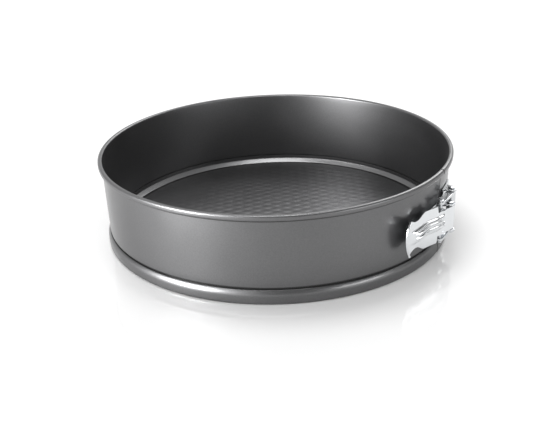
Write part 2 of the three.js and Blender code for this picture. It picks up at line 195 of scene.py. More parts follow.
# Photo's view: its distance and sensor in millimetres, its picture in pixels
VIEW_TURN = math.radians(-16.3)
VIEW_DISTANCE = 700
VIEW_HEIGHT = math.radians(24.6)
VIEW_ROLL = math.radians(-1.9)
VIEW_YAW = math.radians(-0.16)
VIEW_PITCH = math.radians(0.53)
FRAME_WIDTH = 550
FOCAL_PIXELS = 890
SENSOR = 36

# Stage: softboxes by degrees round from the camera, degrees up, metres away, metres wide and high, and watts
SOFTBOXES = {
    "key_low": (-54, 8, 1.0, (0.42, 0.26), 27),
    "key_high": (-55, 44, 1.0, (0.7, 0.24), 5),
    "top": (0, 76, 1.2, (0.6, 0.4), 6),
    "fill_low": (48, 9, 1.0, (0.55, 0.2), 2.5),
    "strip_right": (86, 24, 1.2, (0.8, 0.1), 0.6),
    "back_right": (152, 40, 1.3, (0.7, 0.7), 6.5),
}
SUN_PLACE = (-150, 68, 2.0)
SUN_SPREAD = math.radians(30)
SUN_LEVEL = 1.1
SKY_LEVEL = 1.02
BACKDROP_SPAN = (-0.75, -0.2)
BACKDROP_LEVEL = (1.0, 0.15)
BACKDROP_DROP = 0.6
TABLE_REACH = 4.0
TABLE_GLOSS = 0.13
TABLE_ROUGHNESS = 0.08


def linear(code):
    """A colour as the shader wants it: each sRGB channel of the hex code, unpacked by the sRGB curve."""
    channels = [int(code[k:k + 2], 16) / 255 for k in (0, 2, 4)]
    return [c / 12.92 if c <= 0.04045 else ((c + 0.055) / 1.055) ** 2.4 for c in channels] + [1.0]


# Surfaces

def arc(x, y, radius, start, end, steps):
    """Points on a circle about (x, y), evenly from one angle to another."""
    t = np.linspace(start, end, steps + 1)
    return np.column_stack([x + radius * np.cos(t), y + radius * np.sin(t)])


def rounded(line, radius, steps=4):
    """A line whose corners are parabolas that leave and meet its straights a radius from the corner."""
    line = np.asarray(line, float)
    corner = line[1:-1]
    back = line[:-2] - corner
    ahead = line[2:] - corner
    start = corner + back * np.minimum(radius / np.linalg.norm(back, axis=1, keepdims=True), CORNER_SHARE)
    end = corner + ahead * np.minimum(radius / np.linalg.norm(ahead, axis=1, keepdims=True), CORNER_SHARE)
    t = np.linspace(0, 1, steps + 1)[None, :, None]
    curve = (1 - t) ** 2 * start[:, None] + 2 * t * (1 - t) * corner[:, None] + t ** 2 * end[:, None]
    return np.vstack([line[:1], curve.reshape(-1, 2), line[-1:]])


def sheet_sides(line, thickness):
    """Both faces of a bent sheet: its middle line moved half a thickness along the mean of two normals."""
    line = line[np.r_[True, np.linalg.norm(np.diff(line, axis=0), axis=1) > SAME_POINT]]
    step = np.diff(line, axis=0)
    step /= np.linalg.norm(step, axis=1)[:, None]
    normal = np.column_stack([-step[:, 1], step[:, 0]])
    after = np.vstack([normal, normal[-1:]])
    mean = np.vstack([normal[:1], normal]) + after
    mean /= np.linalg.norm(mean, axis=1)[:, None]
    reach = mean * (thickness / 2 / np.sum(mean * after, axis=1))[:, None]
    return line - reach, line + reach


def grid_faces(rows, columns, wrap_columns=False, wrap_rows=False):
    """Four-sided faces between the neighbouring points of a grid that is stored row by row."""
    i = np.arange(rows if wrap_rows else rows - 1)[:, None]
    j = np.arange(columns if wrap_columns else columns - 1)[None, :]
    next_i = (i + 1) % rows
    next_j = (j + 1) % columns
    corners = [i * columns + j, i * columns + next_j, next_i * columns + next_j, next_i * columns + j]
    return np.stack(np.broadcast_arrays(*corners), axis=-1).reshape(-1, 4).tolist()


def turned(profile, angles, closed):
    """A (radius, height) profile carried round the Z axis: one row of points for each angle. Where it stops
    short of a full turn, the profile is a sheet's two faces, and its ends are closed between them."""
    radius, height = np.asarray(profile).T
    points = np.stack([np.outer(np.cos(angles), radius), np.outer(np.sin(angles), radius),
                       np.tile(height, (len(angles), 1))], axis=-1)
    faces = grid_faces(len(angles), len(radius), not closed, closed)
    return points.reshape(-1, 3), faces if closed else faces + end_faces(len(angles), len(radius) // 2)


def end_faces(rows, columns):
    """The faces that close a sheet's first and last rows; a row runs out on one face, back on the other."""
    j = np.arange(columns - 1)
    first = np.stack([j, j + 1, 2 * columns - 2 - j, 2 * columns - 1 - j], axis=-1)
    return first.tolist() + (first + (rows - 1) * 2 * columns).tolist()


def lathe(profile, sides=48):
    """A profile that starts and ends on the Z axis, or in one point, turned full circle."""
    return turned(profile, np.arange(sides) * FULL_TURN / sides, True)


def plate(outline, low, high):
    """A flat outline seen from above, raised from one height to another, with a face on each end."""
    count = len(outline)
    points = np.vstack([np.column_stack([outline, np.full(count, z)]) for z in (low, high)])
    return points, grid_faces(2, count, True) + [list(range(count)), list(range(count, 2 * count))]


def thick(surface, thickness):
    """A sheet about a grid of points: the grid moved half a thickness along its normals, edges closed."""
    along = np.gradient(surface, axis=0)
    across = np.gradient(surface, axis=1)
    normal = np.cross(along, across)
    normal *= thickness / 2 / np.linalg.norm(normal, axis=-1, keepdims=True)
    rows, columns = surface.shape[:2]
    loop = np.concatenate([surface + normal, (surface - normal)[:, ::-1]], axis=1)
    return loop.reshape(-1, 3), grid_faces(rows, 2 * columns, True) + end_faces(rows, columns)


def tube(line, radius, aside, sides=16):
    """A round bar along a line: a circle about each point, square to the line, and a face on each end."""
    ahead = np.gradient(line, axis=0)
    across = np.cross(ahead, aside)
    across /= np.linalg.norm(across, axis=1, keepdims=True)
    upward = np.cross(across, ahead)
    upward /= np.linalg.norm(upward, axis=1, keepdims=True)
    turn = (np.arange(sides) * FULL_TURN / sides)[:, None]
    points = line[:, None] + radius * (np.cos(turn) * across[:, None] + np.sin(turn) * upward[:, None])
    last = (len(line) - 1) * sides
    ends = [list(range(sides)), list(range(last, last + sides))]
    return points.reshape(-1, 3), grid_faces(len(line), sides, True) + ends


def stadium(start, end, start_radius, end_radius, steps=20):
    """The outline of a bar with a round end about each of two points."""
    angle = math.atan2(*(end - start)[::-1])
    return np.vstack([arc(*end, end_radius, angle - math.pi / 2, angle + math.pi / 2, steps),
                      arc(*start, start_radius, angle + math.pi / 2, angle + 3 * math.pi / 2, steps)])


def smooth(low, high, x):
    """0 below low, 1 above high, and an even S between them."""
    t = np.clip((x - low) / (high - low), 0, 1)
    return t * t * (3 - 2 * t)


def window(start, fade, x):
    """Rises from 0 to 1 over one stretch and falls back to 0 over another."""
    return smooth(*start, x) * (1 - smooth(*fade, x))


def level_pair(outline, low, high):
    """Two equal flat plates, as far below the latch's middle as above it."""
    lower = plate(outline, LATCH_MID - high, LATCH_MID - low)
    upper = plate(outline, LATCH_MID + low, LATCH_MID + high)
    return [lower, upper]


def on_latch(points):
    """Latch places turned to where the latch stands round the pan."""
    c, s = math.cos(LATCH_TURN), math.sin(LATCH_TURN)
    x, y, z = np.asarray(points, float).T
    return np.column_stack([c * x - s * y, s * x + c * y, z])


def lever_place(out, along, height):
    """Lever places, measured from its pivot, as latch places."""
    plan = PIVOT + np.asarray(out)[..., None] * LEVER_OUT + np.asarray(along)[..., None] * LEVER_ALONG
    return np.concatenate([plan, np.asarray(height)[..., None] + LATCH_MID], axis=-1)


def add_piece(name, parts, finish, body, nodes=(), edge=0.0, crease=40):
    """Puts parts, each points in millimetres with faces, into one closed mesh that rides a body."""
    points, faces, start = [], [], 0
    for part_points, part_faces in parts:
        points.append(part_points)
        faces += [[start + k for k in face] for face in part_faces]
        start += len(part_points)
    mesh = bpy.data.meshes.new(name)
    mesh.from_pydata((np.vstack(points) * MM).tolist(), [], faces)
    shell = bmesh.new()
    shell.from_mesh(mesh)
    bmesh.ops.remove_doubles(shell, verts=shell.verts, dist=WELD * MM)
    bmesh.ops.recalc_face_normals(shell, faces=shell.faces)
    shell.to_mesh(mesh)
    shell.free()
    mesh.polygons.foreach_set("use_smooth", np.ones(len(mesh.polygons), bool))
    mesh.set_sharp_from_angle(angle=math.radians(crease))
    piece = bpy.data.objects.new(name, mesh)
    bpy.context.scene.collection.objects.link(piece)
    mesh.materials.append(finish)
    if edge:
        bevel = piece.modifiers.new("soft_edges", "BEVEL")
        bevel.width = edge * MM
        bevel.segments = 2
        bevel.limit_method = "ANGLE"
        bevel.angle_limit = math.radians(crease)
        bevel.harden_normals = True
    if body:
        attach(piece, body)
    if nodes:
        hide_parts(*nodes)
    return piece


# Finishes

def add_node(tree, kind, links=None, **settings):
    """One shader node with its settings; links gives each input the socket that feeds it or its value."""
    node = tree.nodes.new(kind)
    for key, value in settings.items():
        setattr(node, key, value)
    for key, value in (links or {}).items():
        if isinstance(value, bpy.types.NodeSocket):
            tree.links.new(value, node.inputs[key])
        else:
            node.inputs[key].default_value = value
    return node


def new_finish(name):
    """An empty node material, and its tree."""
    finish = bpy.data.materials.new(name)
    finish.use_nodes = True
    finish.node_tree.nodes.clear()
    return finish, finish.node_tree


def noise(tree, place, size, detail):
    """Noise whose features are that many millimetres across."""
    links = {"Vector": place, "Scale": 1 / (size * MM), "Detail": detail}
    return add_node(tree, "ShaderNodeTexNoise", links).outputs["Fac"]


def calc(tree, operation, *values):
    """What a Math node makes of one or two values."""
    return add_node(tree, "ShaderNodeMath", dict(enumerate(values)), operation=operation).outputs["Value"]


def remap(tree, value, old, new, **settings):
    """A value carried from one range to another and held at its ends."""
    links = {"Value": value, "From Min": old[0], "From Max": old[1], "To Min": new[0], "To Max": new[1]}
    return add_node(tree, "ShaderNodeMapRange", links, **settings).outputs["Result"]


def fine_relief(tree, height, strength, depth):
    """A normal bent as if the surface stood out by a height, with a depth in millimetres."""
    links = {"Height": height, "Strength": strength, "Distance": depth * MM}
    return add_node(tree, "ShaderNodeBump", links).outputs["Normal"]


def coating_finish(name, colour, roughness, shade_lines):
    """Satin non-stick coating on steel, sprayed and baked: a dark grey sheen with fine metal flake and a
    faint orange peel, which scatter the studio's reflection into a soft grain. Painted shade: along grooves,
    each given by its height or radius, its colour is darkened into a line on faces that look outwards,
    standing in for the shade in the crease, under the rim and in the floor's groove."""
    finish, tree = new_finish(name)
    coords = add_node(tree, "ShaderNodeTexCoord")
    place = coords.outputs["Object"]
    # Real flake is under 0.1 mm; it is drawn coarser so that a pixel still shows it
    flake = noise(tree, place, size=0.9, detail=1.0)
    cloud = noise(tree, place, size=45, detail=2.0)
    peel = noise(tree, place, size=1.2, detail=1.0)
    grain = remap(tree, flake, (0.25, 0.75), (0.93, 1.07))
    tone = remap(tree, cloud, (0.3, 0.7), (0.97, 1.03))
    gloss = remap(tree, cloud, (0.3, 0.7), (roughness - 0.02, roughness + 0.02))
    level = calc(tree, "MULTIPLY", grain, tone)
    outward = add_node(tree, "ShaderNodeVectorMath", {0: coords.outputs["Normal"], 1: place},
                       operation="DOT_PRODUCT")
    inside = calc(tree, "LESS_THAN", outward.outputs["Value"], 0.0)
    plan = add_node(tree, "ShaderNodeVectorMath", {0: place, 1: (1, 1, 0)}, operation="MULTIPLY")
    reach = add_node(tree, "ShaderNodeVectorMath", {0: plan.outputs["Vector"]}, operation="LENGTH")
    measures = {
        "height": add_node(tree, "ShaderNodeSeparateXYZ", {"Vector": place}).outputs["Z"],
        "radius": reach.outputs["Value"],
    }
    # Painted shade: each line darkens the colour near its height or radius, on outward-looking faces only
    for measure, at, width in shade_lines:
        away = calc(tree, "ABSOLUTE", calc(tree, "SUBTRACT", measures[measure], at))
        painted_shade = remap(tree, away, (width / 6, width / 2), (PAINTED_SHADE_LEVEL, 1), interpolation_type="SMOOTHSTEP")
        level = calc(tree, "MULTIPLY", level, calc(tree, "MAXIMUM", painted_shade, inside))
    tint = add_node(tree, "ShaderNodeVectorMath", {0: colour[:3], "Scale": level}, operation="SCALE")
    shader = add_node(tree, "ShaderNodeBsdfPrincipled", {
        "Base Color": tint.outputs["Vector"], "Metallic": 0.95, "Specular Tint": linear("a8a8a8"),
        "Roughness": gloss, "Coat Weight": 0.8, "Coat Roughness": 0.2,
        "Normal": fine_relief(tree, peel, strength=0.05, depth=0.05)})
    add_node(tree, "ShaderNodeOutputMaterial", {"Surface": shader.outputs["BSDF"]})
    return finish


def plating_finish(name, colour, roughness, wave):
    """Bright plating on pressed steel: a clear mirror, broken by the sheet's slight waves and fine wear."""
    finish, tree = new_finish(name)
    place = add_node(tree, "ShaderNodeTexCoord").outputs["Object"]
    ripple = noise(tree, place, size=6, detail=2.0)
    wear = noise(tree, place, size=1.5, detail=3.0)
    shader = add_node(tree, "ShaderNodeBsdfPrincipled", {
        "Base Color": colour, "Metallic": 1.0,
        "Roughness": remap(tree, wear, (0.35, 0.7), (roughness, roughness + 0.08)),
        "Normal": fine_relief(tree, ripple, strength=wave, depth=0.1)})
    add_node(tree, "ShaderNodeOutputMaterial", {"Surface": shader.outputs["BSDF"]})
    return finish


# What a user would change

class PanSizes(bpy.types.PropertyGroup):
    """Sizes of the pan"""
    height: bpy.props.FloatProperty(
        name="Height", description="Height of the pan", default=0.065, unit="LENGTH")
    wall_radius: bpy.props.FloatProperty(
        name="Wall radius", description="Radius of the wall's outside, at its top", default=0.1302,
        unit="LENGTH")
    rim_height: bpy.props.FloatProperty(
        name="Rim height", description="Height of the curled rim", default=0.0044, unit="LENGTH")
    rim_depth: bpy.props.FloatProperty(
        name="Rim depth", description="How far the curled rim reaches out, wall included", default=0.0034,
        unit="LENGTH")
    foot_height: bpy.props.FloatProperty(
        name="Foot height", description="Height of the stepped foot", default=0.0104, unit="LENGTH")
    floor_height: bpy.props.FloatProperty(
        name="Floor height", description="Height of the floor above the table", default=0.004,
        unit="LENGTH")
    cell_width: bpy.props.FloatProperty(
        name="Cell width", description="Distance between columns of the floor's cells", default=0.0079,
        unit="LENGTH")
    cell_length: bpy.props.FloatProperty(
        name="Cell length", description="Distance between cells in a column", default=0.0083, unit="LENGTH")
    cell_rise: bpy.props.FloatProperty(
        name="Cell rise", description="Height of the floor's cells", default=0.00014, unit="LENGTH")


class PanColours(bpy.types.PropertyGroup):
    """Colours of the pan"""
    ring: bpy.props.FloatVectorProperty(
        name="Ring", description="Coating of the ring", default=linear("606061"), subtype="COLOR", size=4)
    floor: bpy.props.FloatVectorProperty(
        name="Base plate", description="Coating of the base plate", default=linear("6e6e6f"),
        subtype="COLOR", size=4)
    lever: bpy.props.FloatVectorProperty(
        name="Lever", description="Plating of the lever", default=linear("dddfe1"), subtype="COLOR", size=4)
    fittings: bpy.props.FloatVectorProperty(
        name="Fittings", description="Plating of the link and brackets", default=linear("cfd1d3"),
        subtype="COLOR", size=4)
    pins: bpy.props.FloatVectorProperty(
        name="Pins", description="Steel of the pins and rivets", default=linear("c4c6c9"),
        subtype="COLOR", size=4)


# Pieces

def wall_radius(sizes, height):
    """The wall's outside radius at a height, a straight taper from rim to foot, in millimetres."""
    top = sizes.wall_radius / MM
    foot = sizes.foot_height / MM
    rise = (height - foot) / ((sizes.height - sizes.rim_height) / MM - foot)
    return top - WALL_TAPER * (1 - rise)


def ring_section(sizes, crease_depth):
    """The ring's section as the middle line of a bent sheet: hem, foot, shoulder, crease, wall, curled rim.
    Each bend is an arc of a circle, and straight lines join the bends."""
    half = SHEET / 2
    height = sizes.height / MM
    wall_top = sizes.wall_radius / MM - half
    wall_foot = wall_top - WALL_TAPER
    foot = wall_foot + FOOT_PROUD
    ledge = sizes.foot_height / MM - half
    rim = wall_top + sizes.rim_depth / MM - SHEET
    rim_top = height - half - RIM_CORNER
    rim_foot = height - sizes.rim_height / MM + half + RIM_CORNER
    hem = [[foot + half - HEM_WIDTH, half]]
    bend = SHOULDER_RADIUS - LEDGE_CORNER
    bend_x = foot - SHOULDER_RADIUS + bend * math.cos(SHOULDER_TURN)
    bend_z = ledge - LEDGE_CORNER
    shoulder = arc(foot - SHOULDER_RADIUS, bend_z - bend * math.sin(SHOULDER_TURN), SHOULDER_RADIUS, 0,
                   SHOULDER_TURN, 12)
    lip = arc(bend_x, bend_z, LEDGE_CORNER, SHOULDER_TURN, math.pi / 2, 6)[1:]
    crease_top = ledge + CREASE_WIDTH
    crease = rounded([
        lip[-1],
        [wall_foot - crease_depth, ledge],
        [wall_foot - crease_depth, crease_top],
        [wall_foot, crease_top + CREASE_LEAN],
        [wall_top, rim_top],
    ], CREASE_CORNER)[1:-1]
    wall = np.linspace(crease[-1], [wall_top, rim_top], 12)[1:-1]
    return np.vstack([
        hem,
        arc(foot - FOOT_CORNER, half + FOOT_CORNER, FOOT_CORNER, -math.pi / 2, 0, 6),
        shoulder,
        lip,
        crease,
        wall,
        arc(wall_top + RIM_CORNER, rim_top, RIM_CORNER, math.pi, math.pi / 2, 8),
        arc(rim - RIM_CORNER, rim_top, RIM_CORNER, math.pi / 2, 0, 8),
        arc(rim - RIM_CORNER, rim_foot, RIM_CORNER, 0, -RIM_TUCK, 8),
    ])


class PAN_OT_ring(bpy.types.Operator):
    """Builds the ring: one strip in three stretches, of which the one opposite the latch rides no body"""
    bl_idname = "springform.ring"
    bl_label = "Ring"

    def execute(self, context):
        sizes = context.scene.pan_sizes
        # Painted shade: a dark line in the foot's crease and one in the gap under the curled rim
        shade_lines = [("height", sizes.foot_height + CREASE_WIDTH / 2 * MM, FOOT_SHADE_LINE * MM),
                 ("height", sizes.height - sizes.rim_height - RIM_SHADE_DROP * MM, RIM_SHADE_LINE * MM)]
        colour = context.scene.pan_colours.ring
        finish = coating_finish("satin_nonstick_on_steel", colour, roughness=0.42, shade_lines=shade_lines)
        outside = sheet_sides(ring_section(sizes, CREASE_DEPTH), SHEET)[0]
        inside = sheet_sides(ring_section(sizes, 0), SHEET)[1]
        section = np.vstack([outside, inside[::-1]])
        split = SPLIT_GAP / 2 / (sizes.wall_radius / MM)
        steps = round((FLEX_FROM - split) / RING_STEP)
        stretches = {
            "ring_front_strip": (np.linspace(-FLEX_FROM, -split, steps), "pan", ["ring_front"]),
            "ring_back_strip": (np.linspace(split, FLEX_FROM, steps), "ring_end", ["ring_back"]),
            "ring_flex_strip": (np.linspace(FLEX_FROM, FULL_TURN - FLEX_FROM, FLEX_STEPS), None, []),
        }
        for name, (angles, body, nodes) in stretches.items():
            points, faces = turned(section, angles, False)
            piece = add_piece(name, [(on_latch(points), faces)], finish, body, nodes)
        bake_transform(piece)
        return {"FINISHED"}


def disc_grid(radius, count):
    """A square grid folded onto a disc: the larger coordinate is the radius, the smaller one the angle."""
    side = np.linspace(-1, 1, count)
    u, v = np.meshgrid(side, side, indexing="ij")
    wide = np.abs(u) >= np.abs(v)
    reach = np.where(wide, u, v)
    safe = np.where(reach == 0, 1, reach)
    angle = np.where(wide, math.pi / 4 * v / safe, math.pi / 2 - math.pi / 4 * u / safe)
    return radius * reach * np.cos(angle), radius * reach * np.sin(angle)


def cell_height(x, y, width, length):
    """Staggered round cells from 0 to 1: an S over the sum of three cosine waves, which peak together at each
    cell's middle."""
    c, s = math.cos(CELL_TURN), math.sin(CELL_TURN)
    column = FULL_TURN * (c * x + s * y) / width
    row = FULL_TURN * (c * y - s * x) / length
    waves = np.cos(column) + np.cos(row - column / 2) + np.cos(row + column / 2)
    return smooth(*CELL_SPAN, waves)


class PAN_OT_base_plate(bpy.types.Operator):
    """Builds the base plate: an embossed floor, a small groove round it, a slope and an upright edge"""
    bl_idname = "springform.base_plate"
    bl_label = "Base Plate"

    def execute(self, context):
        sizes = context.scene.pan_sizes
        half = SHEET / 2
        floor = sizes.floor_height / MM - half
        edge = sizes.wall_radius / MM - WALL_TAPER - SHEET - SEAT_GAP / 2 - half
        slope = edge - SLOPE_WIDTH
        # Painted shade: a dark line round the floor beside its groove, where shade falls
        shade_lines = [("radius", (slope - GROOVE_WIDTH) * MM, FLOOR_SHADE_LINE * MM)]
        colour = context.scene.pan_colours.floor
        finish = coating_finish("satin_nonstick_on_embossed_steel", colour, roughness=0.4, shade_lines=shade_lines)
        line = rounded([
            [0, floor],
            [slope - GROOVE_WIDTH, floor],
            [slope - GROOVE_WIDTH / 2, floor - GROOVE_DEPTH],
            [slope, floor - GROOVE_DEPTH],
            [edge, floor + SLOPE_RISE],
            [edge, sizes.foot_height / MM - EDGE_TOP_GAP],
        ], PLATE_CORNER)
        under, over = sheet_sides(line, SHEET)
        skirt = turned(np.vstack([under, over[:0:-1]]), np.arange(360) * RING_STEP, True)
        x, y = disc_grid(over[1, 0], FLOOR_POINTS)
        rise = sizes.cell_rise / MM * cell_height(x, y, sizes.cell_width / MM, sizes.cell_length / MM)
        z = over[1, 1] + rise * (1 - smooth(*CELLS_FADE, np.hypot(x, y)))
        top = np.stack([x, y, z], axis=-1).reshape(-1, 3), grid_faces(FLOOR_POINTS, FLOOR_POINTS)
        add_piece("base_plate_pressed", [skirt, top], finish, "pan", ["base_plate"])
        return {"FINISHED"}


def lever_half_height(along):
    """Half the lever's height from curl to tail: a root, an S up to the body, one down to the neck and one
    up to the flared tail."""
    body = (BODY_HALF - ROOT_HALF) * smooth(*BODY_START, along)
    neck = (BODY_HALF - NECK_HALF) * smooth(*NECK_START, along)
    tail = (TAIL_HALF - NECK_HALF) * smooth(*TAIL_START, along)
    return ROOT_HALF + body - neck + tail


def lever_relief(along, height):
    """How far the lever's face stands out: a parabola across the body as its crown, a flat band that sinks
    towards the tail, two ribs on it as bell curves, and a round pit where the ribs start."""
    share = height / lever_half_height(along)
    crown = CROWN_RISE * (1 - share ** 2) * window(CROWN_START, CROWN_FADE, along)
    aside = np.abs(height - BAND_LIFT + BAND_SINK * smooth(*SINK_START, along))
    band = BAND_RISE * (1 - smooth(*BAND_EDGE, aside)) * window(BAND_START, BAND_FADE, along)
    ribs = RIB_RISE * np.exp(-((aside - RIB_ASIDE) / RIB_WIDTH) ** 2) * window(RIB_START, RIB_FADE, along)
    pit = PIT_DEPTH * np.exp(-(aside / PIT_SIZE) ** 4) * np.exp(-((along - PIT_AT) / PIT_SIZE) ** 4)
    return crown + band + ribs - pit


class PAN_OT_lever(bpy.types.Operator):
    """Builds the latch's lever: a pressed handle curled round its pivot, with lugs for the link's pin"""
    bl_idname = "springform.lever"
    bl_label = "Lever"

    def execute(self, context):
        colour = context.scene.pan_colours.lever
        finish = plating_finish("bright_nickel_on_pressed_steel", colour, roughness=0.1, wave=0.2)
        turn = np.linspace(CURL_TURN, 0, 40)[:-1]
        curl = np.column_stack([CURL_RADIUS * np.cos(turn), -CURL_RADIUS * np.sin(turn)])
        straight = np.column_stack([np.full(150, CURL_RADIUS), np.linspace(0, TAIL_BEND, 150)])
        bend = arc(CURL_RADIUS + TAIL_BEND_RADIUS, TAIL_BEND, TAIL_BEND_RADIUS, math.pi,
                   math.pi - TAIL_BEND_TURN, 24)[1:]
        path = np.vstack([curl, straight, bend])
        along = path[:, 1, None]
        share = np.linspace(-1, 1, 97)[None, :]
        flat = np.r_[np.zeros(len(curl)), np.ones(len(straight) + len(bend))][:, None]
        height = share * np.where(flat > 0, lever_half_height(along), ROOT_HALF)
        out = path[:, 0, None] + flat * lever_relief(along, height)
        bulge = TAIL_BULGE * (1 - 2 * share ** 2) * smooth(*BULGE_START, along)
        lift = LEVER_LIFT * smooth(*LIFT_START, along)
        surface = lever_place(out, along + flat * bulge, height + lift)
        handle = thick(surface, LEVER_SHEET)
        hem = tube(surface[-1], HEM_RADIUS, [*LEVER_OUT, 0])
        lug_end = PIVOT + LINK_PIN_ALONG * LEVER_ALONG + (CURL_RADIUS - LUG_SEAT) * LEVER_OUT
        lugs = level_pair(stadium(LINK_PIN, lug_end, LUG_RADIUS, LUG_RADIUS), *LUG)
        parts = [(on_latch(points), faces) for points, faces in [handle, hem, *lugs]]
        add_piece("lever_handle", parts, finish, "lever", ["lever"], edge=0.2)
        return {"FINISHED"}


class PAN_OT_link(bpy.types.Operator):
    """Builds the link: two arms from the lever's pin to a barrel round the anchor pin"""
    bl_idname = "springform.link"
    bl_label = "Link"

    def execute(self, context):
        colour = context.scene.pan_colours.fittings
        finish = plating_finish("bright_zinc_on_link", colour, roughness=0.16, wave=0.2)
        bore, barrel_radius = BARREL
        half = ARM[0]
        arms = level_pair(stadium(ANCHOR, LINK_PIN, barrel_radius, ARM_EYE_RADIUS), *ARM)
        section = [[bore, -half], [barrel_radius, -half], [barrel_radius, half], [bore, half], [bore, -half]]
        points, faces = lathe(section, BARREL_SIDES)
        barrel = points + [*ANCHOR, LATCH_MID], faces
        parts = [(on_latch(points), faces) for points, faces in [barrel, *arms]]
        add_piece("link_stirrup", parts, finish, "link", ["link"], edge=0.3)
        return {"FINISHED"}


def bracket_parts(sizes, pin, pad, foot, ear):
    """A bracket: a pad bent to the wall between two places round it, and two ears that reach out to a pin."""
    round_wall = np.linspace(*pad, 25) / LATCH_WALL
    upward = np.linspace(-ear[1], ear[1], 25) + LATCH_MID
    angle, z = np.meshgrid(round_wall, upward, indexing="ij")
    radius = wall_radius(sizes, z) + SEAT_GAP + EAR_SHEET / 2
    sheet = thick(np.stack([radius * np.cos(angle), radius * np.sin(angle), z], axis=-1), EAR_SHEET)
    middle = wall_radius(sizes, LATCH_MID) + SEAT_GAP + EAR_SHEET / 2
    ends = np.array(foot) / LATCH_WALL
    near, far = middle * np.column_stack([np.cos(ends), np.sin(ends)])
    outline = np.vstack([[near], arc(*pin, EAR_RADIUS, -math.pi / 2, math.pi / 2, 20), [far]])
    return [(on_latch(points), faces) for points, faces in [sheet, *level_pair(outline, *ear)]]


class PAN_OT_brackets(bpy.types.Operator):
    """Builds the two brackets that hold the latch's pins on the ring's ends"""
    bl_idname = "springform.brackets"
    bl_label = "Brackets"

    def execute(self, context):
        sizes = context.scene.pan_sizes
        colour = context.scene.pan_colours.fittings
        finish = plating_finish("bright_zinc_on_brackets", colour, roughness=0.18, wave=0.2)
        hinge = bracket_parts(sizes, PIVOT, HINGE_PAD, HINGE_EAR_FOOT, HINGE_EAR)
        anchor = bracket_parts(sizes, ANCHOR, ANCHOR_PAD, ANCHOR_EAR_FOOT, ANCHOR_EAR)
        brackets = {
            "hinge_bracket_bent": (hinge, "pan", "hinge_bracket"),
            "anchor_bracket_bent": (anchor, "ring_end", "anchor_bracket"),
        }
        for name, (parts, body, node) in brackets.items():
            add_piece(name, parts, finish, body, [node], edge=0.25)
        return {"FINISHED"}


def pin_profile(radius, half):
    """A pin's profile from end to end: slightly domed flat heads with round edges on a plain shank."""
    wide = radius + PIN_HEAD_PROUD
    upper = rounded([
        [radius, 0],
        [radius, half - PIN_HEAD],
        [wide, half - PIN_HEAD],
        [wide, half - PIN_HEAD_DOME],
        [0, half],
    ], PIN_CORNER, 5)
    return np.vstack([upper[:0:-1] * [1, -1], upper[1:]])


class PAN_OT_pins(bpy.types.Operator):
    """Builds the latch's three pins"""
    bl_idname = "springform.pins"
    bl_label = "Pins"

    def execute(self, context):
        colour = context.scene.pan_colours.pins
        finish = plating_finish("bright_steel_pins", colour, roughness=0.18, wave=0.1)
        pins = {
            "pivot_pin_turned": ("pivot_pin", PIVOT, PIN_RADIUS, HINGE_EAR, "pan"),
            "link_pin_turned": ("link_pin", LINK_PIN, LINK_PIN_RADIUS, ARM, "lever"),
            "anchor_pin_turned": ("anchor_pin", ANCHOR, PIN_RADIUS, ANCHOR_EAR, "ring_end"),
        }
        for name, (node, place, radius, through, body) in pins.items():
            points, faces = lathe(pin_profile(radius, through[1] + PIN_REACH))
            parts = [(on_latch(points + [*place, LATCH_MID]), faces)]
            add_piece(name, parts, finish, body, [node])
        return {"FINISHED"}


class PAN_OT_rivets(bpy.types.Operator):
    """Builds the rivets that hold the brackets: a dome outside, a flat head inside the wall"""
    bl_idname = "springform.rivets"
    bl_label = "Rivets"

    def execute(self, context):
        sizes = context.scene.pan_sizes
        colour = context.scene.pan_colours.pins
        finish = plating_finish("bright_steel_rivets", colour, roughness=0.2, wave=0.1)
        rows = {"hinge": (*HINGE_RIVETS, "pan"), "anchor": (*ANCHOR_RIVETS, "ring_end")}
        for prefix, (along, spacing, body) in rows.items():
            for place, side in (("lower", -1), ("upper", 1)):
                height = LATCH_MID + side * spacing / 2
                inside = wall_radius(sizes, height) - SHEET - SEAT_GAP
                outside = wall_radius(sizes, height) + 2 * SEAT_GAP + EAR_SHEET
                dome = np.linspace(0, math.pi / 2, 9)
                cap = np.column_stack([RIVET_HEAD * np.cos(dome), outside + RIVET_RISE * np.sin(dome)])
                head = [
                    [0, inside - RIVET_RISE / 2],
                    [RIVET_HEAD - RIVET_CORNER, inside - RIVET_RISE / 2],
                    [RIVET_HEAD, inside - RIVET_RISE / 4],
                    [RIVET_HEAD, inside],
                    [RIVET_RADIUS, inside],
                    [RIVET_RADIUS, outside],
                ]
                points, faces = lathe(np.vstack([head, cap]), 32)
                angle = along / LATCH_WALL
                out = np.array([math.cos(angle), math.sin(angle), 0])
                aside = np.array([-math.sin(angle), math.cos(angle), 0])
                raised = points[:, 1:2] * [0, 0, 1] + [0, 0, height]
                placed = points[:, 2:] * out + points[:, :1] * aside + raised
                node = f"{prefix}_rivet_{place}"
                add_piece(f"{node}_set", [(on_latch(placed), faces)], finish, body, [node])
        return {"FINISHED"}


# Stage

def photo_camera():
    """The photo's pinhole: on a circle round the pan, aimed by a small yaw and pitch, then rolled."""
    eye = np.array([0, -math.cos(VIEW_HEIGHT), math.sin(VIEW_HEIGHT)]) * VIEW_DISTANCE
    tilt = VIEW_PITCH - VIEW_HEIGHT
    level = np.array([math.sin(VIEW_YAW), math.cos(VIEW_YAW), 0])
    ahead = math.cos(tilt) * level + [0, 0, math.sin(tilt)]
    right = np.cross(ahead, [0, 0, 1])
    right /= np.linalg.norm(right)
    up = np.cross(right, ahead)
    c, s = math.cos(VIEW_ROLL), math.sin(VIEW_ROLL)
    axes = np.column_stack([c * right + s * up, c * up - s * right, -ahead])
    turn = np.array(Matrix.Rotation(VIEW_TURN, 3, "Z"))
    place = np.eye(4)
    place[:3, :3] = turn @ axes
    place[:3, 3] = turn @ eye * MM
    return Matrix(place.tolist())


